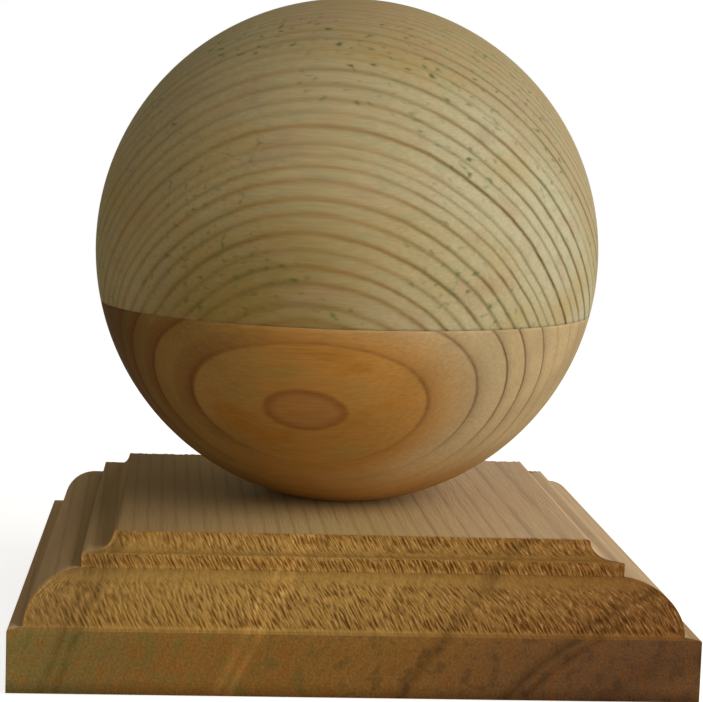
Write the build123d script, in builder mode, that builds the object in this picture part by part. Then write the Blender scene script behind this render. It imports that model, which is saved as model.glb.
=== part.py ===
from build123d import *
import math
import os

# A turned ball on a moulded square plate, made to cap a square timber post.
# Millimetres, +Z up. The origin is at the middle of the plate's underside, where it meets the post.
# The plate's grain runs along Y, so its front and back mouldings are end grain.

# Base plate: a square of planed board with the same moulding cut along its four edges.
# From the square edge the moulding goes up and in by a ledge, a quarter round, a quirk,
# an upright fillet, a second ledge, and a cove that runs out at the flat top.
plate_width = 120.0
board_thickness = 25.0
lower_ledge = 2.5
round_radius = 8.6
quirk = 0.7
fillet_height = 2.4
upper_ledge = 2.4
cove_radius = 3.0
plate_arris = 0.3

# Ball: two blocks glued face to face, then turned as one and faced off where it sits on the plate
ball_diameter = 98.0
seat_diameter = 20.0
glue_below_centre = 10.5

# Countersunk wood screw, driven from below through the plate and into the ball.
# Its plain shank ends inside the plate, a little short of the joint, so that it pulls the ball down.
screw_length = 50.0
shank_diameter = 5.0
shank_below_joint = 2.2
core_diameter = 3.2
head_diameter = 9.6
head_rim = 0.5
point_length = 5.0
head_sink = 0.8
recess_width = 5.0
recess_slot = 1.3
recess_depth = 2.6
recess_taper = 8.0

# Clearances: round the head, round the shank and round the core, and the depth below the point
head_gap = 0.05
shank_gap = 0.25
core_gap = 0.05
point_gap = 3.0

# Heights above the plate's underside
round_top = board_thickness - cove_radius - fillet_height
edge_top = round_top - round_radius
fillet_top = round_top + fillet_height
ball_radius = ball_diameter / 2
seat_radius = seat_diameter / 2
ball_centre = board_thickness + math.sqrt(ball_radius**2 - seat_radius**2)
glue_height = ball_centre - glue_below_centre
rim_top = head_sink + head_rim
cone_top = rim_top + (head_diameter - shank_diameter) / 2
shank_top = board_thickness - shank_below_joint
core_foot = shank_top + (shank_diameter - core_diameter) / 2
screw_tip = head_sink + screw_length
point_foot = screw_tip - point_length

# Half widths of the moulding, from the square edge in to the flat top
half_width = plate_width / 2
half_round_foot = half_width - lower_ledge
half_round_top = half_round_foot - round_radius
half_fillet = half_round_top - quirk
half_cove_foot = half_fillet - upper_ledge
half_top = half_cove_foot - cove_radius

# Radii of the holes that the screw passes through
shank_hole = shank_diameter / 2 + shank_gap
core_hole = core_diameter / 2 + core_gap
countersink_mouth = head_diameter / 2 + rim_top + head_gap
countersink_angle = 90
flat_tolerance = 0.01

os.makedirs("parts", exist_ok=True)


# The moulded board cut across, the same on both sides of its middle
with BuildSketch() as moulding:
    with BuildLine():
        underside = Line((0, 0), (half_width, 0))
        edge = Line(underside @ 1, (half_width, edge_top))
        ledge = Line(edge @ 1, (half_round_foot, edge_top))
        quarter_round = CenterArc((half_round_top, edge_top), round_radius, 0, 90)
        foot = Line(quarter_round @ 1, (half_fillet, round_top))
        fillet_face = Line(foot @ 1, (half_fillet, fillet_top))
        shelf = Line(fillet_face @ 1, (half_cove_foot, fillet_top))
        cove = CenterArc((half_cove_foot, board_thickness), cove_radius, 270, -90)
        top = Line(cove @ 1, (0, board_thickness))
        Line(top @ 1, underside @ 0)
    make_face()
    mirror(about=Plane.YZ)
    top_corners = vertices().group_by(Axis.Y)[-1].sort_by(Axis.X)
    rim = vertices().filter_by_position(Axis.Y, edge_top - flat_tolerance, edge_top + flat_tolerance)
    rim_corners = rim.sort_by(Axis.X)
    fillet([top_corners[0], top_corners[-1], rim_corners[0], rim_corners[-1]], plate_arris)

# The cutter runs along two edges and then the other two, so the mouldings meet in mitres
with BuildPart() as base_plate:
    with BuildSketch(Plane.XZ):
        add(moulding.sketch)
    extrude(amount=half_width, both=True)
    with BuildSketch(Plane.YZ):
        add(moulding.sketch)
    extrude(amount=half_width, both=True, mode=Mode.INTERSECT)
    with Locations(Plane.XY.rotated((180, 0, 0))):
        CounterSinkHole(shank_hole, countersink_mouth, counter_sink_angle=countersink_angle)

# The lower block of the ball, from its flat seat up to the glue line, with the screw's pilot hole
with BuildPart() as ball_lower_block:
    with Locations((0, 0, ball_centre)):
        Sphere(ball_radius)
    split(bisect_by=Plane.XY.offset(board_thickness), keep=Keep.TOP)
    split(bisect_by=Plane.XY.offset(glue_height), keep=Keep.BOTTOM)
    with Locations(Plane.XY.offset(board_thickness).rotated((180, 0, 0))):
        Hole(core_hole, screw_tip + point_gap - board_thickness)

# The upper block, glued to the lower one with its grain the same way
with BuildPart() as ball_upper_block:
    with Locations((0, 0, ball_centre)):
        Sphere(ball_radius)
    split(bisect_by=Plane.XY.offset(glue_height), keep=Keep.TOP)

# The screw, with its thread left as the plain core between the thread's turns
with BuildPart() as fixing_screw:
    with BuildSketch(Plane.XZ):
        with BuildLine():
            Polyline(
                (0, head_sink),
                (head_diameter / 2, head_sink),
                (head_diameter / 2, rim_top),
                (shank_diameter / 2, cone_top),
                (shank_diameter / 2, shank_top),
                (core_diameter / 2, core_foot),
                (core_diameter / 2, point_foot),
                (0, screw_tip),
                close=True,
            )
        make_face()
    revolve(axis=Axis.Z)
    with BuildSketch(Plane.XY.offset(head_sink)):
        Rectangle(recess_width, recess_slot)
        Rectangle(recess_slot, recess_width)
    extrude(amount=recess_depth, taper=recess_taper, mode=Mode.SUBTRACT)

base_plate.part.label = "base_plate"
export_step(base_plate.part, "parts/base_plate.step")

ball_lower_block.part.label = "ball_lower_block"
export_step(ball_lower_block.part, "parts/ball_lower_block.step")

ball_upper_block.part.label = "ball_upper_block"
export_step(ball_upper_block.part, "parts/ball_upper_block.step")

fixing_screw.part.label = "fixing_screw"
export_step(fixing_screw.part, "parts/fixing_screw.step")
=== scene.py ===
import math
import bmesh
import bpy
from mathutils import Matrix, Vector, noise


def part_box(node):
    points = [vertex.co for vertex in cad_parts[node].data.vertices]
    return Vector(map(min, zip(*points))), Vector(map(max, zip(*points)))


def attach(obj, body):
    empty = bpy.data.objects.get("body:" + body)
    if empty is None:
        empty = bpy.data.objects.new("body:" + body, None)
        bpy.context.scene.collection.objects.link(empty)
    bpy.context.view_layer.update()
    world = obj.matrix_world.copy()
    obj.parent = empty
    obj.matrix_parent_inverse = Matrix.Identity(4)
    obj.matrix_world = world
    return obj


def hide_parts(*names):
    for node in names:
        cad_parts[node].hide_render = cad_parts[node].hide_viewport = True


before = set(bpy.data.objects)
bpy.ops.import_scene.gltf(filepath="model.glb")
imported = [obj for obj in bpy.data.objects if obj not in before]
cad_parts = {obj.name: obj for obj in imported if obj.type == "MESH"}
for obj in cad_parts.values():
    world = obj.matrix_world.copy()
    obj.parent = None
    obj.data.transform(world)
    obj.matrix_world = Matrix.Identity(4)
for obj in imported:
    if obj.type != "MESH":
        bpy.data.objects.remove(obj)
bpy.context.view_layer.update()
mm = 0.001
hair = 0.01  # mm, two heights closer than this are the same
merge = 1e-4  # mm, two points closer than this are the same
uvMm = 100  # mm that one unit of the plate's UV map stands for

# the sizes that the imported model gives, in mm
upperLow, upperHigh = (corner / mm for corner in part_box("ball_upper_block"))
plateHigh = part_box("base_plate")[1] / mm
ballRadius = (upperHigh.x - upperLow.x) / 2
ballCentre = Vector((0, 0, upperHigh.z - ballRadius))
glueHeight = upperLow.z
print("frame loaded: ball", round(2 * ballRadius, 1), "mm, plate", round(2 * plateHigh.x, 1), "mm")


def linearColour(hexCode):  # sRGB hex to the linear colour that Blender's sockets take
    parts = [int(hexCode[i:i + 2], 16) / 255 for i in (1, 3, 5)]
    return tuple(c / 12.92 if c <= 0.04045 else ((c + 0.055) / 1.055) ** 2.4 for c in parts) + (1,)


def addNode(tree, kind, settings=None, inputs=None):  # an input is a value, a hex colour or an output
    node = tree.nodes.new(kind)
    for name, value in (settings or {}).items():
        setattr(node, name, value)
    for socket, value in (inputs or {}).items():
        if isinstance(value, bpy.types.NodeSocket):
            tree.links.new(value, node.inputs[socket])
        else:
            node.inputs[socket].default_value = linearColour(value) if isinstance(value, str) else value
    return node


def newMaterial(name, roughness):
    material = bpy.data.materials.new(name)
    material.use_nodes = True
    tree = material.node_tree
    shader = tree.nodes["Principled BSDF"]
    shader.inputs["Roughness"].default_value = roughness
    return material, tree, shader


def finishMaterial(tree, shader, colour, height, depth):  # depth of the relief in mm
    bump = addNode(tree, "ShaderNodeBump", None, {"Strength": 1.0, "Distance": depth * mm, "Height": height})
    tree.links.new(colour, shader.inputs["Base Color"])
    tree.links.new(bump.outputs[0], shader.inputs["Normal"])


def finishPiece(name, bm, material, nodes):  # a mesh in mm becomes a piece in metres on the root
    mesh = bpy.data.meshes.new(name)
    bmesh.ops.scale(bm, vec=(mm, mm, mm), verts=bm.verts[:])
    bm.to_mesh(mesh)
    bm.free()
    piece = bpy.data.objects.new(name, mesh)
    bpy.context.scene.collection.objects.link(piece)
    mesh.materials.append(material)
    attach(piece, "root")
    if nodes:
        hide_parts(*nodes)
    print(name, len(mesh.vertices), "vertices")
    return piece


# A pattern's strength is the product of its steps. A step is a number, an output, the name of a source,
# or a soft step: the name of a source, two of its values, and the strength at each, 0 and 1 if not said.
def strengthAt(tree, sources, *steps):
    total = None
    for step in steps:
        if isinstance(step, str):
            step = sources[step]
        if isinstance(step, tuple):
            name, low, high, start, end = step if len(step) == 5 else (*step, 0, 1)
            step = addNode(tree, "ShaderNodeMapRange", {"interpolation_type": "SMOOTHSTEP"},
                           {0: sources[name], 1: low, 2: high, 3: start, 4: end}).outputs[0]
        if total is not None:
            step = addNode(tree, "ShaderNodeMath", {"operation": "MULTIPLY"},
                           {0: total, 1: step}).outputs[0]
        total = step
    return total


def layCoats(tree, sources, colour, coats):  # a coat is a colour or its name, and its strength's steps
    for coat, *steps in coats:
        above = sources.get(coat, coat) if isinstance(coat, str) else coat
        colour = addNode(tree, "ShaderNodeMix", {"data_type": "RGBA"},
                         {0: strengthAt(tree, sources, *steps), 6: colour, 7: above}).outputs[2]
    return colour


def lighten(tree, sources, colour, *steps):  # a strength of 1 leaves the colour as it is
    return addNode(tree, "ShaderNodeVectorMath", {"operation": "SCALE"},
                   {0: colour, "Scale": strengthAt(tree, sources, *steps)}).outputs[0]


def shadeFromTable(tree, source, table):  # rows of a value of the source and the shade of grey there
    first, last = table[0][0], table[-1][0]
    share = addNode(tree, "ShaderNodeMapRange", None, {0: source, 1: first, 2: last}).outputs[0]
    node = addNode(tree, "ShaderNodeValToRGB", None, {"Fac": share})
    elements = node.color_ramp.elements
    while len(elements) < len(table):
        elements.new(0.5)
    for element, (value, shade) in zip(elements, table):
        element.position = (value - first) / (last - first)
        element.color = (shade, shade, shade, 1)
    return node.outputs["Color"]


def stretchedNoise(tree, place, along, across, detail, seed):  # its blots are along by across mm
    squeezed = addNode(tree, "ShaderNodeVectorMath", {"operation": "MULTIPLY_ADD"},
                       {0: place, 1: (1 / along, 1 / across, 1 / across), 2: (seed, seed, seed)})
    return addNode(tree, "ShaderNodeTexNoise", None,
                   {"Vector": squeezed.outputs[0], "Scale": 1.0, "Detail": detail}).outputs["Fac"]


# Growth rings are cylinders about the tree's pith. Each block is cut with its pith outside it.
def woodGrain(tree, wood):  # coordinates in mm with X along the pith and the origin on it
    place = addNode(tree, "ShaderNodeTexCoord").outputs["Object"]
    inMm = addNode(tree, "ShaderNodeVectorMath", {"operation": "SCALE"}, {0: place, "Scale": 1 / mm})
    turn = (0, -math.radians(wood["pithRise"]), math.radians(wood["pithTurn"]))
    return addNode(tree, "ShaderNodeMapping", {"vector_type": "TEXTURE"},
                   {"Vector": inMm.outputs[0], "Location": wood["pithPlace"], "Rotation": turn}).outputs[0]


def ringDistance(tree, grain, wood):  # distance from the pith in mm, with the wander of real rings
    across = addNode(tree, "ShaderNodeVectorMath", {"operation": "MULTIPLY"}, {0: grain, 1: (0, 1, 1)})
    total = addNode(tree, "ShaderNodeVectorMath", {"operation": "LENGTH"}, {0: across.outputs[0]})
    total = total.outputs["Value"]
    for size, stretch, amount in wood["wander"]:
        wave = stretchedNoise(tree, grain, size * stretch, size, 1.0, size)
        shift = addNode(tree, "ShaderNodeMapRange", {"clamp": False}, {0: wave, 3: -amount, 4: amount})
        total = addNode(tree, "ShaderNodeMath", {"operation": "ADD"},
                        {0: total, 1: shift.outputs[0]}).outputs[0]
    return total


def ringLines(tree, sources, wood):  # 0 in the pale early wood, up to 1 in the dark late wood
    distance, rings = sources["distance"], wood["rings"]
    first, last, count = rings[0][0], rings[-1][0], len(rings) - 1
    # a count of years that is at a half on every ring: an even count, and how far each ring is off it
    mostOff = 4
    offRows = [(radius, 0.5 + (n - count * (radius - first) / (last - first)) / (2 * mostOff))
               for n, (radius, strength) in enumerate(rings)]
    off = addNode(tree, "ShaderNodeMapRange", None,
                  {0: shadeFromTable(tree, distance, offRows), 3: -mostOff, 4: mostOff}).outputs[0]
    even = addNode(tree, "ShaderNodeMapRange", {"clamp": False},
                   {0: distance, 1: first, 2: last, 3: 0.5, 4: count + 0.5}).outputs[0]
    years = addNode(tree, "ShaderNodeMath", {"operation": "ADD"}, {0: even, 1: off}).outputs[0]
    within = addNode(tree, "ShaderNodeMath", {"operation": "FRACT"}, {0: years}).outputs[0]
    lines = shadeFromTable(tree, within, wood["ringProfile"])
    if "sharpness" in wood:  # a power above 1 makes the lines thinner, and one below 1 makes them broader
        power = strengthAt(tree, sources, wood["sharpness"])
        lines = addNode(tree, "ShaderNodeMath", {"operation": "POWER"}, {0: lines, 1: power}).outputs[0]
    return strengthAt(tree, sources, lines, shadeFromTable(tree, distance, rings), wood["patchyRing"])


# Sources of pattern: reach is mm along the pith, height is mm above it, distance is mm from it.
def pine(name, wood):  # the grain that all three blocks share
    material, tree, shader = newMaterial(name, wood["roughness"])
    shader.inputs["Specular IOR Level"].default_value = wood["gloss"]
    grain = woodGrain(tree, wood)
    axes = addNode(tree, "ShaderNodeSeparateXYZ", None, {0: grain}).outputs
    sources = {"reach": axes["X"], "height": axes["Z"], "distance": ringDistance(tree, grain, wood)}
    sources.update(wood["colours"])
    for pattern, sizes in (sharedNoises | wood["noises"]).items():
        sources[pattern] = stretchedNoise(tree, grain, *sizes)
    sources["lines"] = ringLines(tree, sources, wood)
    return material, tree, shader, sources


# mm along and across the grain, detail, and a number that moves the noise
sharedNoises = {
    "fibres": (8, 0.4, 3.0, 7.0),  # wood fibres, drawn about 0.4 mm wide so that they show
    "ringPatches": (25, 6, 2.0, 13.0),
}

# Turned Scots pine sapwood under a green copper preservative: pale greenish tan with thin brown late wood,
# green specks and smears where the treatment dried, and a dull sanded surface.
upperWood = {
    "pithPlace": ballCentre + Vector((0, 53.7, 61.5)), "pithTurn": -10.66, "pithRise": -0.85,
    # distance of each ring from the pith in mm, and how strongly it shows
    "rings": ((77.5, 0.4), (80.4, 0.55), (83.1, 0.65), (86.4, 0.4), (88.5, 0.3), (91.3, 0.75),
              (94.5, 0.75), (97.3, 0.7), (99.4, 0.45), (101.7, 1.0), (104.4, 0.55), (105.9, 0.45),
              (107.4, 0.75), (109.2, 0.8), (111.5, 0.85), (113.3, 0.7), (115.4, 1.0), (117.1, 0.55),
              (118.6, 0.95), (120.0, 0.85), (121.9, 0.85), (123.1, 1.0)),
    # waves of the rings: their size in mm, how much longer they are along the grain, and mm to each side
    "wander": ((38, 1.6, 0.6), (9, 2.5, 0.3), (1.6, 5, 0.1)),
    # darkness through one year, whose late wood is in its middle
    "ringProfile": ((0, 0.0), (0.08, 0.0), (0.27, 0.22), (0.42, 0.85), (0.5, 1.0), (0.58, 0.85), (0.68, 0.3),
                    (0.82, 0.0), (1, 0.0)),
    "patchyRing": ("ringPatches", 0.3, 0.55, 0.7, 1.0), "roughness": 0.85, "gloss": 0.05,
    # toward the right end the surface stands steeper to the rings, so there they are thin and dark
    "sharpness": ("reach", 5, 55, 1.0, 2.2), "lineDepth": ("reach", 5, 55, 0.52, 1.15),
    "lowLeft": (("distance", 102, 116), ("reach", 20, -5, 0, 0.35)),  # where the lines are darker still
    "noises": {"clusters": (24, 15, 1.0, 5.0), "broad": (60, 20, 3.0, 3.0), "smears": (5, 2.0, 4.0, 21.0),
               "flushes": (14, 5, 3.0, 33.0), "specks": (1.7, 1.1, 0.0, 11.0)},
    "colours": {"early": "#b1a074", "paleEnd": "#b3ab86", "rim": "#bb9f66", "crown": "#9f8154",
                "warm": "#a98f52", "cool": "#9d9d74", "honey": "#917a3f", "blush": "#a88d6c",
                "late": "#8a6020", "lateEnd": "#604925", "fleck": "#4f6038"},
    "coats": (("paleEnd", ("reach", 12, 45)),
              ("rim", ("reach", 58, 64, 0, 0.6)),
              ("crown", ("distance", 92, 82, 0, 0.5), ("reach", -8, 10)),
              ("warm", ("broad", 0.4, 0.8, 0, 0.8)),
              ("cool", ("smears", 0.45, 0.75, 0, 0.55)),
              ("honey", ("distance", 108, 121), ("reach", 35, 0, 0, 0.9)),  # richer near the glue line
              ("blush", ("flushes", 0.5, 0.75, 0, 0.5))),
    "lateCoats": (("lateEnd", ("reach", 5, 55)), ("fleck", ("clusters", 0.45, 0.7, 0, 0.6))),
    "fibreShade": ("fibres", 0.25, 0.75, 0.92, 1.08),
    "specks": (("fleck", ("specks", 0.6, 1.0), ("clusters", 0.42, 0.6)),),
    "lineRelief": 0.6, "relief": 0.04,
}


def upperMaterial():
    wood = upperWood
    material, tree, shader, sources = pine("greenTreatedTurnedPine", wood)
    colour = layCoats(tree, sources, wood["colours"]["early"], wood["coats"])
    late = layCoats(tree, sources, wood["colours"]["late"], wood["lateCoats"])
    lowLeft = addNode(tree, "ShaderNodeMath", {"operation": "ADD"},
                      {0: strengthAt(tree, sources, *wood["lowLeft"]), 1: 1.0}).outputs[0]
    colour = layCoats(tree, sources, colour, [(late, "lines", wood["lineDepth"], lowLeft)])
    colour = lighten(tree, sources, colour, wood["fibreShade"])
    colour = layCoats(tree, sources, colour, wood["specks"])
    height = layCoats(tree, sources, sources["fibres"], [("lines", wood["lineRelief"])])
    finishMaterial(tree, shader, colour, height, wood["relief"])
    return material


# Turned Scots pine from nearer the heart: orange brown, with broad rings that close round an eye.
lowerWood = {
    "pithPlace": ballCentre + Vector((0, -66.73, -40.6)), "pithTurn": -14.18, "pithRise": 1.24,
    "rings": ((27.9, 0.0), (32.7, 1.0), (37.9, 0.85), (42.4, 1.0), (45.7, 0.95), (49.8, 0.8), (53.4, 0.3)),
    "wander": ((45, 1.5, 0.3), (11, 2.0, 0.2), (1.6, 5, 0.06)),
    "ringProfile": ((0, 0.0), (0.43, 0.0), (0.475, 0.55), (0.5, 1.0), (0.525, 0.8), (0.58, 0.38),
                    (0.72, 0.18), (0.95, 0.0), (1, 0.0)),
    "patchyRing": ("ringPatches", 0.3, 0.55, 0.8, 1.0), "roughness": 0.85, "gloss": 0.05,
    # the rings are broad at the left end, thin at the right, and fade in the middle and low down
    "sharpness": ("reach", -35, 5, 0.45, 1.2), "rightDepth": ("reach", -5, 20, 0.42, 0.95),
    "leftDepth": ("reach", -20, -45, 0, 0.5), "lowFade": ("height", 0, 16, 0.3, 1),
    "noises": {"broad": (45, 12, 2.0, 3.0), "blots": (16, 6, 2.0, 31.0)},
    "colours": {"heart": "#ad7c3a", "leftHeart": "#9a773f", "early": "#b19a6e", "late": "#6a3a1a",
                "lateEnd": "#553c24", "moss": "#9a8040", "amber": "#a06a22", "eye": "#98693a",
                "eyeRim": "#74421c", "stain": "#46311f"},
    "coats": (("early", ("reach", -2, 26, 0, 0.55)),
              ("early", ("distance", 32, 40), ("reach", -32, 0)),
              ("heart", ("height", 8, -4, 0, 0.8)),  # orange again low down
              ("leftHeart", ("reach", -15, -35))),
    "broadShade": ("broad", 0.3, 0.7, 0.88, 1.12),
    # inside the first ring it is blotchy, with the eye in its middle, and the left end is darkened with
    # painted shade
    "eyeAndLeftShadeCoats": (("moss", ("blots", 0.5, 0.72, 0, 0.5), ("distance", 33, 31), ("reach", 12, -4)),
                 ("amber", ("blots", 0.48, 0.3, 0, 0.6), ("distance", 33, 31), ("reach", 12, -4)),
                 ("eye", ("distance", 28.2, 28.08, 0, 0.55)),
                 ("eyeRim", ("distance", 28.32, 28.14), ("distance", 27.8, 28.14, 0, 0.5)),
                 # painted shade: the left end, which faces away from the key lamp, is darkened in the colour
                 ("stain", ("reach", -34, -60, 0, 0.75))),
    "lateCoats": (("lateEnd", ("reach", 0, 25)),),
    "fibreShade": ("fibres", 0.25, 0.75, 0.9, 1.1),
    "lineRelief": 0.6, "relief": 0.04,
}


def lowerMaterial():
    wood = lowerWood
    material, tree, shader, sources = pine("turnedHeartPine", wood)
    colour = layCoats(tree, sources, wood["colours"]["heart"], wood["coats"])
    colour = lighten(tree, sources, colour, wood["broadShade"])
    # the eye's colours, then painted shade that darkens the left end
    colour = layCoats(tree, sources, colour, wood["eyeAndLeftShadeCoats"])
    late = layCoats(tree, sources, wood["colours"]["late"], wood["lateCoats"])
    depth = addNode(tree, "ShaderNodeMath", {"operation": "ADD"},
                    {0: strengthAt(tree, sources, wood["rightDepth"]),
                     1: strengthAt(tree, sources, wood["leftDepth"])}).outputs[0]
    colour = layCoats(tree, sources, colour, [(late, "lines", depth, wood["lowFade"])])
    colour = lighten(tree, sources, colour, wood["fibreShade"])
    height = layCoats(tree, sources, sources["fibres"], [("lines", wood["lineRelief"])])
    finishMaterial(tree, shader, colour, height, wood["relief"])
    return material


# Planed and moulded Scots pine: sapwood at the left that took the treatment, red heart at the right.
# Across the grain the cutter tore the fibres out, so the end-grain mouldings are rough and golden brown,
# while the planed end below them is smooth, dark and blotchy from the treatment that soaked in.
# Its pith lies 40 mm below the underside, so the square edge ends at a height of 51 above the pith.
plateWood = {
    "pithPlace": Vector((71, 0, -40)), "pithTurn": 91, "pithRise": 0,
    "rings": ((59, 0.6), (61.1, 0.9), (64, 0.5), (67, 0.8), (70, 0.5), (73.1, 0.7), (75.8, 0.9), (77.5, 0.6),
              (79.3, 0.8), (80.7, 0.5), (82.4, 0.9), (84.2, 0.7), (86.2, 1.0), (88.3, 0.6), (89.9, 0.8),
              (91.7, 0.7)),
    "wander": ((30, 6, 0.25), (7, 10, 0.1), (1.4, 14, 0.06)),
    "ringProfile": ((0, 0.0), (0.3, 0.1), (0.44, 0.8), (0.5, 1.0), (0.56, 0.6), (0.68, 0.0), (1, 0.0)),
    "patchyRing": ("ringPatches", 0.3, 0.55, 0.5, 1.0), "roughness": 0.9, "gloss": 0.02,
    "noises": {"mottle": (30, 0.45, 2.0, 9.0), "blots": (60, 2.6, 5.0, 19.0), "patches": (60, 5, 2.0, 41.0)},
    "strokes": (0.34, 1.3, 2.0, 2.0),  # torn fibres, drawn about 0.35 mm wide so that they show
    "colours": {"paleSide": "#cdb087", "early": "#bfa46d", "sapSide": "#a28557", "outerSide": "#c8a677",
                "heartSide": "#a78a64", "late": "#5f4226", "orangeBand": "#7a4612", "rind": "#8a6b3c",
                "sap": "#ab8543", "heart": "#875a2c", "tornTipHighlight": "#d0a56a", "tornPitShade": "#5c3512",
                "edgeHeart": "#66482c", "edge": "#835e2b", "edgeSap": "#7b6737", "orange": "#8c5c24",
                "olive": "#6b6530", "russet": "#774a22", "shade": "#4f3722", "neutral": "#bcbcbc"},
    # long grain: the clean mouldings at the left and right, and the flat top
    "sideCoats": (("early", ("distance", 72, 95)),
                  ("sapSide", ("distance", 98, 130)),
                  ("outerSide", ("distance", 130, 142)),
                  ("heartSide", ("distance", 67, 57, 0, 0.7)),
                  ("late", "lines", 0.34)),
    "sideFibres": ("fibres", 0.25, 0.75, 0.96, 1.04),
    # end grain: its own colour, then that of the planed square edge, which is the blotchier in its sapwood
    "endCoats": (("sap", ("distance", 48, 96)), ("rind", ("distance", 124, 136, 0, 0.6))),
    "edgeCoats": (("edge", ("distance", 50, 88)), ("edgeSap", ("distance", 110, 136))),
    "sapwood": ("distance", 70, 115), "warmBlots": ("blots", 0.5, 0.68, 0, 0.5),
    "darkBlots": ("blots", 0.5, 0.34, 0, 0.5), "belowEdge": ("height", 51, 50.9),
    "mottle": ("mottle", 0.3, 0.7, 0.86, 1.14),
    # torn fibres get painted shade in their pits and a painted highlight on their tips, less so in the
    # sapwood
    "tornCoats": (("tornPitShade", ("tear", 0.75, 0.2, 0, 0.75), ("distance", 128, 95, 0.65, 1)),
                  ("tornTipHighlight", ("strokes", 0.52, 0.72, 0, 0.55), ("distance", 128, 95, 0.65, 1)),
                  ("tornPitShade", ("strokes", 0.45, 0.25, 0, 0.55), ("distance", 128, 95, 0.65, 1))),
    "lowOnRound": ("height", 58, 52, 1, 0.9),
    # a dark orange brown on the fillet and the top of the cove, laid most in the torn pits, where it is
    # painted shade: height and strength
    "orangeBandHeights": ((59, 0.0), (59.6, 0.0), (60.5, 1.0), (62, 0.0), (63.5, 0.0), (64.58, 1.0), (65, 1.0)),
    "orangeBandInPits": ("strokes", 0.6, 0.35, 0.1, 0.5),
    "endLines": ("late", "lines", 0.2),
    # distance from the pith in mm, and the shade that a broad streak there has, 0.5 being neutral
    "streaks": ((45, 0.55), (50, 0.38), (53, 0.48), (58, 0.49), (59, 0.3), (60.2, 0.48), (61.2, 0.29),
                (63, 0.49), (74.6, 0.51), (76.2, 0.33), (77.6, 0.5), (101.4, 0.5), (102.4, 0.74),
                (103.3, 0.49), (104.5, 0.7), (105.6, 0.5), (110, 0.53), (120, 0.49), (129, 0.49),
                (130.2, 0.31), (131.2, 0.5), (132.3, 0.36), (133.5, 0.5), (137, 0.54)),
    "streakPatches": ("patches", 0.3, 0.6, 0.4, 1.0), "fibreRelief": 0.6, "relief": 0.14,
}


def plateMaterial():
    wood = plateWood
    colours = wood["colours"]
    material, tree, shader, sources = pine("mouldedPine", wood)
    for mask in ("endGrain", "torn", "tear"):
        sources[mask] = addNode(tree, "ShaderNodeAttribute", {"attribute_name": mask}).outputs["Fac"]
    along = addNode(tree, "ShaderNodeUVMap", {"uv_map": "moulding"}).outputs[0]
    inMm = addNode(tree, "ShaderNodeVectorMath", {"operation": "SCALE"}, {0: along, "Scale": uvMm})
    sources["strokes"] = stretchedNoise(tree, inMm.outputs[0], *wood["strokes"])
    side = layCoats(tree, sources, colours["paleSide"], wood["sideCoats"])
    side = lighten(tree, sources, side, wood["sideFibres"])

    end = layCoats(tree, sources, colours["heart"], wood["endCoats"])
    edge = layCoats(tree, sources, colours["edgeHeart"], wood["edgeCoats"])
    warmBlot = layCoats(tree, sources, colours["russet"], [("orange", wood["sapwood"])])
    darkBlot = layCoats(tree, sources, colours["shade"], [("olive", wood["sapwood"])])
    edge = layCoats(tree, sources, edge, [(warmBlot, wood["warmBlots"]), (darkBlot, wood["darkBlots"])])
    planed = layCoats(tree, sources, end, [(edge, wood["belowEdge"])])
    planed = lighten(tree, sources, planed, wood["mottle"])
    # painted shade in the torn pits and a painted highlight on the fibre tips
    rough = layCoats(tree, sources, end, wood["tornCoats"])
    rough = lighten(tree, sources, rough, wood["lowOnRound"])
    orangeBand = shadeFromTable(tree, sources["height"], wood["orangeBandHeights"])
    # a dark orange brown band, strongest in the torn pits, where it is painted shade
    rough = layCoats(tree, sources, rough, [("orangeBand", orangeBand, wood["orangeBandInPits"])])
    end = layCoats(tree, sources, planed, [(rough, "torn"), wood["endLines"]])
    streaks = shadeFromTable(tree, sources["distance"], wood["streaks"])
    streaks = layCoats(tree, sources, colours["neutral"], [(streaks, wood["streakPatches"])])
    end = lighten(tree, sources, end, streaks, 2)  # twice a neutral shade is 1

    colour = layCoats(tree, sources, side, [(end, "endGrain")])
    quiet = strengthAt(tree, sources, "fibres", wood["fibreRelief"])
    height = layCoats(tree, sources, quiet, [("strokes", "endGrain", "torn")])
    finishMaterial(tree, shader, colour, height, wood["relief"])
    return material


# Ball: each block's outline is spun round the upright axis, as on the lathe that turned it.
ball = {"turnSteps": 300, "rowHeight": 0.6, "pilotRadius": 1.65, "pilotTop": 53.8, "offTrue": 0.05}


def turned(outline):  # outline of (radius, height) points in mm, from the axis to the axis
    bm = bmesh.new()
    line = [bm.verts.new((radius, 0, height)) for radius, height in outline]
    edges = [bm.edges.new(pair) for pair in zip(line, line[1:])]
    bmesh.ops.spin(bm, geom=line + edges, cent=(0, 0, 0), axis=(0, 0, 1), angle=2 * math.pi,
                   steps=ball["turnSteps"], use_merge=True)
    bmesh.ops.remove_doubles(bm, verts=bm.verts[:], dist=merge)
    bmesh.ops.recalc_face_normals(bm, faces=bm.faces[:])
    for face in bm.faces:  # the turned face is smooth, and the saw cuts and the drilled hole are flat
        away = (face.calc_center_median() - ballCentre).length
        face.smooth = abs(away - ballRadius) < ball["offTrue"]
    return bm


def ballArc(low, high):  # the ball's outline between two heights
    first, last = (math.asin((z - ballCentre.z) / ballRadius) for z in (low, high))
    rows = round((last - first) * ballRadius / ball["rowHeight"])
    angles = [first + (last - first) * i / rows for i in range(rows + 1)]
    return [(ballRadius * math.cos(a), ballCentre.z + ballRadius * math.sin(a)) for a in angles]


def upperBlock(material):
    arc = ballArc(glueHeight, upperHigh.z)
    bm = turned([(0, glueHeight)] + arc[:-1] + [(0, upperHigh.z)])
    return finishPiece("ball_upper_turned", bm, material, ["ball_upper_block"])


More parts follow.
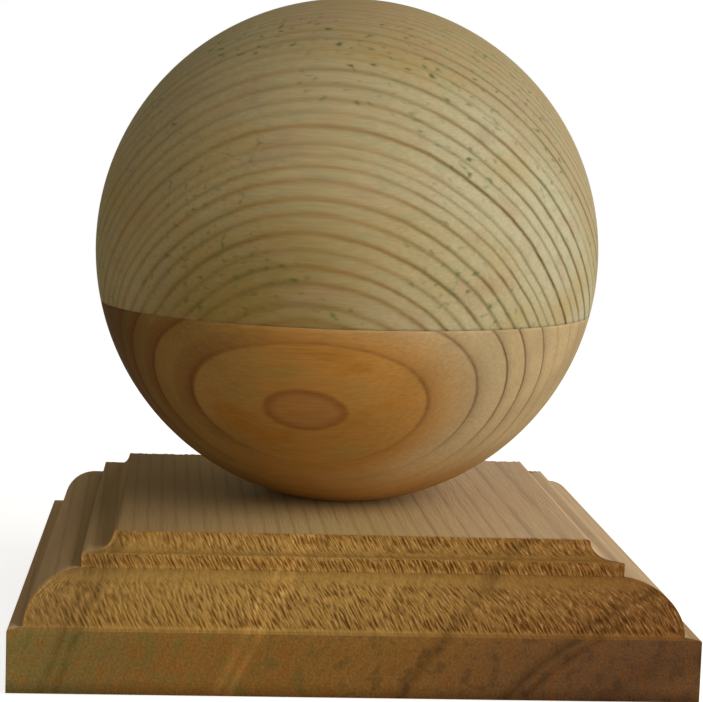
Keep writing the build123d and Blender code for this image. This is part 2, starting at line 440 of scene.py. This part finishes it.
def lowerBlock(material):
    radius, top = ball["pilotRadius"], ball["pilotTop"]
    pilot = [(0, top), (radius, top), (radius, plateHigh.z)]
    bm = turned(pilot + ballArc(plateHigh.z, glueHeight) + [(0, glueHeight)])
    return finishPiece("ball_lower_turned", bm, material, ["ball_lower_block"])


# Plate: the moulding is a square loop that is extruded and drawn in step by step, then divided finely
# along the end-grain edges, where the torn fibres are pushed in. Sizes in mm, the lean in degrees.
plate = {
    "lowerLedge": 2.5, "roundRadius": 8.6, "quirk": 0.7, "filletHeight": 2.4, "upperLedge": 2.4,
    "coveRadius": 3.0, "arris": 0.3, "softEdge": 0.18,
    "edgeStep": 2.5, "smoothStep": 1.2, "tornStep": 0.56, "closest": 0.02, "endCuts": 829, "sideCuts": 39,
    # each size of tear: mm across and along the strokes, a number that moves the noise, and its share
    "tears": ((0.38, 1.4, 4.0, 0.75), (1.7, 2.2, 9.0, 0.25), (6.0, 4.0, 2.0, 0.12)), "tearMiddle": 0.42,
    # faces that rise more steeply than steep tore, and less so the upper ledge and the flat top's rim
    "tearDepth": 0.36, "steep": (0.3, 0.6), "tearStart": 0.3, "ledgeTear": 0.45, "topTear": 0.8,
    "topReach": (0.5, 1.3), "topShares": (1.0, 0.5, 0.0), "pitBite": (0.3, 0.6), "leastTorn": 0.02,
    # the torn strokes lean sideways as they rise, and come back on the ledges
    "tearLean": 26, "swayStart": -0.6, "swayBack": -0.7, "swayReturn": 1.4,
    "mitreCalm": 6, "mitreShallow": 0.6,  # how far from a mitre they stop leaning, and grow shallow
    "holeRadius": 2.75, "countersinkRadius": 6.15, "holeSides": 48,
}


def arcPoints(centre, radius, start, end):  # points along an arc, angles in degrees
    count = max(2, round(abs(math.radians(end - start)) * radius / plate["tornStep"]))
    return [(centre[0] + radius * math.cos(math.radians(start + (end - start) * i / count)),
             centre[1] + radius * math.sin(math.radians(start + (end - start) * i / count)))
            for i in range(count + 1)]


def straightPoints(start, end, step):
    count = max(1, round(math.dist(start, end) / step))
    return [(start[0] + (end[0] - start[0]) * i / count, start[1] + (end[1] - start[1]) * i / count)
            for i in range(count + 1)]


def mouldingProfile():  # (half width, height) from the underside up to the flat top
    half, top = plateHigh.x, plateHigh.z
    roundTop = top - plate["coveRadius"] - plate["filletHeight"]
    edgeTop = roundTop - plate["roundRadius"]
    roundFoot = half - plate["lowerLedge"]
    roundIn = roundFoot - plate["roundRadius"]
    filletX = roundIn - plate["quirk"]
    coveFoot = filletX - plate["upperLedge"]
    coveTop = coveFoot - plate["coveRadius"]
    coveEnd = 180 + math.degrees(plate["arris"] / plate["coveRadius"])
    arris, soft, step, torn = plate["arris"], plate["softEdge"], plate["smoothStep"], plate["tornStep"]
    points = straightPoints((half, 0), (half, edgeTop - arris), plate["edgeStep"])
    points += arcPoints((half - arris, edgeTop - arris), arris, 0, 90)
    points += straightPoints((half - arris, edgeTop), (roundFoot, edgeTop), step)
    points += arcPoints((roundIn, edgeTop), plate["roundRadius"], 0, 90)
    points += straightPoints((roundIn, roundTop), (filletX, roundTop), step)
    points += straightPoints((filletX, roundTop), (filletX, roundTop + plate["filletHeight"] - soft), torn)
    points += straightPoints((filletX - soft, roundTop + plate["filletHeight"]),
                             (coveFoot, top - plate["coveRadius"]), step)
    points += arcPoints((coveFoot, top), plate["coveRadius"], 270, coveEnd)
    points += [(coveTop - arris - inward, top) for inward in (0, *plate["topReach"])]
    spaced = [points[0]]
    for point in points[1:]:
        if math.dist(point, spaced[-1]) > plate["closest"]:
            spaced.append(point)
    return spaced, edgeTop


def tearAt(across, along):  # 0 at a whole surface, up to 1 at the bottom of a torn pit
    total = plate["tearMiddle"]
    for width, length, moved, share in plate["tears"]:
        total += share * noise.noise(Vector((across / width, along / length, moved)))
    return min(1.0, max(0.0, total))


def softStep(value, low, high):
    t = min(1.0, max(0.0, (value - low) / (high - low)))
    return t * t * (3 - 2 * t)


def mouldingRows(profile, edgeTop):  # each point's way up, facing, tearing, lean and share of end grain
    lean = math.tan(math.radians(plate["tearLean"]))
    filletTop = plateHigh.z - plate["coveRadius"]
    rows, way, sway = {}, 0.0, plate["swayStart"] * lean * plate["roundRadius"]
    for i, point in enumerate(profile):
        before, after = profile[max(0, i - 1)], profile[min(len(profile) - 1, i + 1)]
        along = Vector((after[0] - before[0], after[1] - before[1])).normalized()
        torn = softStep(along.y, *plate["steep"])
        torn *= softStep(point[1], edgeTop - hair, edgeTop + plate["tearStart"])
        share = 1.0
        if point[1] > filletTop - plate["tearStart"]:
            torn = max(torn, plate["ledgeTear"])
        if point[1] > plateHigh.z - hair:
            share = plate["topShares"][i - len(profile) + 3]
            torn = plate["topTear"] * share
        step = math.dist(point, profile[i - 1]) if i else 0.0
        way += step
        if torn > plate["leastTorn"]:
            sway += lean * step
        elif sway > plate["swayBack"]:
            sway = max(plate["swayBack"], sway - plate["swayReturn"] * step)
        facing = Vector((along.y, -along.x))
        rows[(round(point[0], 3), round(point[1], 3))] = (way, facing, torn, sway, share)
    return rows


def basePlate(material):
    profile, edgeTop = mouldingProfile()
    rows = mouldingRows(profile, edgeTop)
    bm = bmesh.new()
    corners = [bm.verts.new((x * profile[0][0], y * profile[0][0], profile[0][1]))
               for x, y in ((-1, -1), (1, -1), (1, 1), (-1, 1))]
    loop = [bm.edges.new((corners[i], corners[(i + 1) % 4])) for i in range(4)]
    for half, height in profile[1:]:
        grown = bmesh.ops.extrude_edge_only(bm, edges=loop)["geom"]
        corners = [item for item in grown if isinstance(item, bmesh.types.BMVert)]
        loop = [item for item in grown if isinstance(item, bmesh.types.BMEdge) and item.verts[0] in corners
                and item.verts[1] in corners]
        for vert in corners:
            vert.co = (math.copysign(half, vert.co.x), math.copysign(half, vert.co.y), height)
    for axis, cuts in ((0, plate["endCuts"]), (1, plate["sideCuts"])):
        long = [e for e in bm.edges if abs(e.verts[0].co[axis] - e.verts[1].co[axis]) > plateHigh.x]
        bmesh.ops.subdivide_edges(bm, edges=long, cuts=cuts, use_grid_fill=True)

    layers = {name: bm.loops.layers.float.new(name) for name in ("endGrain", "torn", "tear")}
    strokes = bm.loops.layers.uv.new("moulding")
    state = {}
    for vert in bm.verts:
        x, y, z = vert.co
        way, facing, torn, sway, share = rows[(round(max(abs(x), abs(y)), 3), round(z, 3))]
        side = -math.copysign(1, y)  # so that the fibres lean the same way on the front and on the back
        inside = abs(y) - abs(x)
        across = x * side - sway * softStep(inside, 0, plate["mitreCalm"])
        tear = tearAt(across + sway, way)
        # on the rim of the flat top, end grain shows where a pit bites into it
        endGrain = share if share in (0.0, 1.0) else softStep(tear, *plate["pitBite"])
        state[vert] = (across + sway, way, torn, 1 - tear, endGrain)
        if inside > merge:
            depth = plate["tearDepth"] * tear * torn * softStep(inside, 0, plate["mitreShallow"])
            vert.co = (across * side, y - math.copysign(facing.x * depth, y), z - facing.y * depth)
    for face in bm.faces:
        middle = face.calc_center_median()
        face.smooth = True
        for corner in face.loops:
            across, way, torn, whole, endGrain = state[corner.vert]
            corner[layers["endGrain"]] = endGrain * float(abs(middle.y) > abs(middle.x))
            corner[layers["torn"]] = torn
            corner[layers["tear"]] = whole
            corner[strokes].uv = (across / uvMm, way / uvMm)

    # the flat top, the flat underside and the countersunk hole between them
    under = [e for e in bm.edges if e.is_boundary and e.verts[0].co.z < hair]
    upper = [e for e in bm.edges if e.is_boundary and e.verts[0].co.z > plateHigh.z - hair]
    circle = bmesh.ops.create_circle(bm, segments=plate["holeSides"], radius=plate["countersinkRadius"])
    mouth = list({edge for vert in circle["verts"] for edge in vert.link_edges})
    bmesh.ops.triangle_fill(bm, edges=under + mouth, use_beauty=True)
    ring = mouth
    for height, radius in ((plate["countersinkRadius"] - plate["holeRadius"], plate["holeRadius"]),
                           (plateHigh.z, plate["holeRadius"])):
        grown = bmesh.ops.extrude_edge_only(bm, edges=ring)["geom"]
        for vert in (item for item in grown if isinstance(item, bmesh.types.BMVert)):
            flat = Vector((vert.co.x, vert.co.y)).normalized() * radius
            vert.co = (flat.x, flat.y, height)
        ring = [item for item in grown if isinstance(item, bmesh.types.BMEdge) and item.is_boundary]
    bmesh.ops.triangle_fill(bm, edges=upper + ring, use_beauty=True)
    bmesh.ops.recalc_face_normals(bm, faces=bm.faces[:])
    return finishPiece("base_plate_moulded", bm, material, ["base_plate"])


# Screw: zinc plated and passivated steel, a pale yellowish metal with a soft gloss and 1 mm spots.
screw = {
    "coreRadius": 1.6, "threadRadius": 2.45, "pitch": 2.2, "threadFoot": 24.0, "threadTop": 47.0,
    "stepsPerTurn": 28, "rootHalf": 0.42, "crestHalf": 0.05, "sunk": 0.05,  # into the core, to leave no gap
    "zinc": "#b9ae86", "dull": "#8f8a78", "roughness": 0.38, "spotsPerMetre": 900.0, "relief": 0.02,
}


def screwMaterial():
    material, tree, shader = newMaterial("zincPlatedSteel", screw["roughness"])
    place = addNode(tree, "ShaderNodeTexCoord").outputs["Object"]
    spots = addNode(tree, "ShaderNodeTexNoise", None,
                    {"Vector": place, "Scale": screw["spotsPerMetre"], "Detail": 3.0}).outputs["Fac"]
    colour = layCoats(tree, {"spots": spots}, screw["zinc"], [(screw["dull"], ("spots", 0.35, 0.7))])
    shader.inputs["Metallic"].default_value = 1.0
    finishMaterial(tree, shader, colour, spots, screw["relief"])
    return material


def screwThread(material):  # the ridge that bites into the ball, wound round the CAD screw's core
    bm = bmesh.new()
    core, crest, foot = screw["coreRadius"] - screw["sunk"], screw["threadRadius"], screw["threadFoot"]
    root, tip = screw["rootHalf"], screw["crestHalf"]
    shape = [bm.verts.new((radius, 0, foot + up))
             for radius, up in ((core, -root), (crest, -tip), (crest, tip), (core, root))]
    first = bm.faces.new(shape)
    turns = (screw["threadTop"] - foot) / screw["pitch"]
    steps = round(turns * screw["stepsPerTurn"])
    bmesh.ops.spin(bm, geom=[first] + first.edges[:] + shape, cent=(0, 0, 0), axis=(0, 0, 1),
                   dvec=(0, 0, screw["pitch"] / screw["stepsPerTurn"]), angle=turns * 2 * math.pi,
                   steps=steps)
    bmesh.ops.recalc_face_normals(bm, faces=bm.faces[:])
    return finishPiece("fixing_screw_thread", bm, material, [])


upperBlock(upperMaterial())
lowerBlock(lowerMaterial())
basePlate(plateMaterial())
zinc = screwMaterial()
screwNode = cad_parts["fixing_screw"]
for spot in screwNode.material_slots:
    spot.material = zinc
screwThread(zinc)
print("pieces made")

# Camera: fitted to the plate's corners and the ball's outline in the photo, place in mm, angles in degrees
view = {"place": (-29.14, -420.65, 101.54), "turn": 4.171, "dip": 6.522, "roll": 1.943,
        "focalLength": 110.17, "sensor": 36, "nearest": 0.01, "farthest": 20}
cameraData = bpy.data.cameras.new("camera")
cameraData.lens = view["focalLength"]
cameraData.sensor_width = view["sensor"]
cameraData.clip_start = view["nearest"]
cameraData.clip_end = view["farthest"]
camera = bpy.data.objects.new("camera", cameraData)
camera.matrix_world = (Matrix.Translation(Vector(view["place"]) * mm)
                       @ Matrix.Rotation(-math.radians(view["turn"]), 4, "Z")
                       @ Matrix.Rotation(math.radians(90 - view["dip"]), 4, "X")
                       @ Matrix.Rotation(math.radians(view["roll"]), 4, "Z"))
bpy.context.scene.collection.objects.link(camera)
bpy.context.scene.camera = camera

# Light: one broad window-like lamp from the right and in front, weak ones from low in front and behind,
# and a dim room all round. Places and sizes in metres, power in watts.
lamps = {
    "key": {"place": (0.98, -0.62, 0.52), "aim": (0, 0, 0.06),
            "size": 1.2, "power": 16.0, "colour": "#f6f6ff"},
    "low": {"place": (0.15, -1.1, 0.05), "aim": (0, 0, 0.05),
            "size": 0.5, "power": 2.8, "colour": "#ffeedd"},
    "back": {"place": (0.35, 1.15, 0.09), "aim": (0, 0, 0.06),
             "size": 0.5, "power": 4.0, "colour": "#fff6ec"},
}
for name, lamp in lamps.items():
    data = bpy.data.lights.new(name, "AREA")
    data.shape = "DISK"
    data.size = lamp["size"]
    data.energy = lamp["power"]
    data.color = linearColour(lamp["colour"])[:3]
    light = bpy.data.objects.new(name, data)
    light.location = lamp["place"]
    light.rotation_euler = (Vector(lamp["aim"]) - Vector(lamp["place"])).to_track_quat("-Z", "Y").to_euler()
    bpy.context.scene.collection.objects.link(light)
print("camera and lamps placed")


def whiteToCamera(tree):  # 1 for the rays that should see plain white paper behind the object
    rays = addNode(tree, "ShaderNodeLightPath").outputs
    total = addNode(tree, "ShaderNodeMath", {"operation": "MAXIMUM"},
                    {0: rays["Is Camera Ray"], 1: rays["Is Glossy Ray"]})
    return addNode(tree, "ShaderNodeMath", {"operation": "MAXIMUM"},
                   {0: total.outputs[0], 1: rays["Is Transmission Ray"]}).outputs[0]


# Room: a dim sky and a floor of white paper, which fades to plain white away from the object
room = {"colour": "#e4e0d6", "strength": 0.3, "white": "#ffffff", "floorSize": 6.0, "floorDrop": 0.0002,
        "touching": 0.001, "floorBounce": "#cfcac2", "floorGlow": 0.78, "fade": (0.25, 0.6)}
world = bpy.data.worlds.new("room")
bpy.context.scene.world = world
world.use_nodes = True
sky = world.node_tree
sky.nodes.clear()
dim = addNode(sky, "ShaderNodeBackground", None, {"Color": room["colour"], "Strength": room["strength"]})
white = addNode(sky, "ShaderNodeBackground", None, {"Color": room["white"], "Strength": 1.0})
skySeen = addNode(sky, "ShaderNodeMixShader", None,
                  {0: whiteToCamera(sky), 1: dim.outputs[0], 2: white.outputs[0]})
addNode(sky, "ShaderNodeOutputWorld", None, {0: skySeen.outputs[0]})

floorMesh = bmesh.new()
bmesh.ops.create_grid(floorMesh, x_segments=1, y_segments=1, size=room["floorSize"] / 2)
floorData = bpy.data.meshes.new("floor")
floorMesh.to_mesh(floorData)
floorMesh.free()
floor = bpy.data.objects.new("floor", floorData)
floor.location.z = -room["floorDrop"]
bpy.context.scene.collection.objects.link(floor)
paper = bpy.data.materials.new("whitePaper")
paper.use_nodes = True
sheet = paper.node_tree
sheet.nodes.clear()
bounce = addNode(sheet, "ShaderNodeBsdfDiffuse", None, {"Color": room["floorBounce"]})
glow = addNode(sheet, "ShaderNodeEmission", None, {"Color": room["white"], "Strength": room["floorGlow"]})
lit = addNode(sheet, "ShaderNodeAddShader", None, {0: bounce.outputs[0], 1: glow.outputs[0]})
plain = addNode(sheet, "ShaderNodeEmission", None, {"Color": room["white"], "Strength": 1.0})
away = addNode(sheet, "ShaderNodeVectorMath", {"operation": "LENGTH"},
               {0: addNode(sheet, "ShaderNodeTexCoord").outputs["Object"]}).outputs["Value"]
faded = strengthAt(sheet, {"away": away}, ("away", *room["fade"]))
near = addNode(sheet, "ShaderNodeMixShader", None, {0: faded, 1: lit.outputs[0], 2: plain.outputs[0]})
paperSeen = addNode(sheet, "ShaderNodeMixShader", None,
                    {0: whiteToCamera(sheet), 1: bounce.outputs[0], 2: near.outputs[0]})
# from below the floor can't be seen, and it doesn't darken the face that stands on it
touching = addNode(sheet, "ShaderNodeMath", {"operation": "LESS_THAN"},
                   {0: addNode(sheet, "ShaderNodeLightPath").outputs["Ray Length"], 1: room["touching"]})
below = addNode(sheet, "ShaderNodeMath", {"operation": "MAXIMUM"},
                {0: touching.outputs[0], 1: addNode(sheet, "ShaderNodeNewGeometry").outputs["Backfacing"]})
clear = addNode(sheet, "ShaderNodeBsdfTransparent")
sheetOrClear = addNode(sheet, "ShaderNodeMixShader", None,
                       {0: below.outputs[0], 1: paperSeen.outputs[0], 2: clear.outputs[0]})
addNode(sheet, "ShaderNodeOutputMaterial", None, {0: sheetOrClear.outputs[0]})
floorData.materials.append(paper)

bpy.context.scene.view_settings.view_transform = "Standard"

print("scene ready")
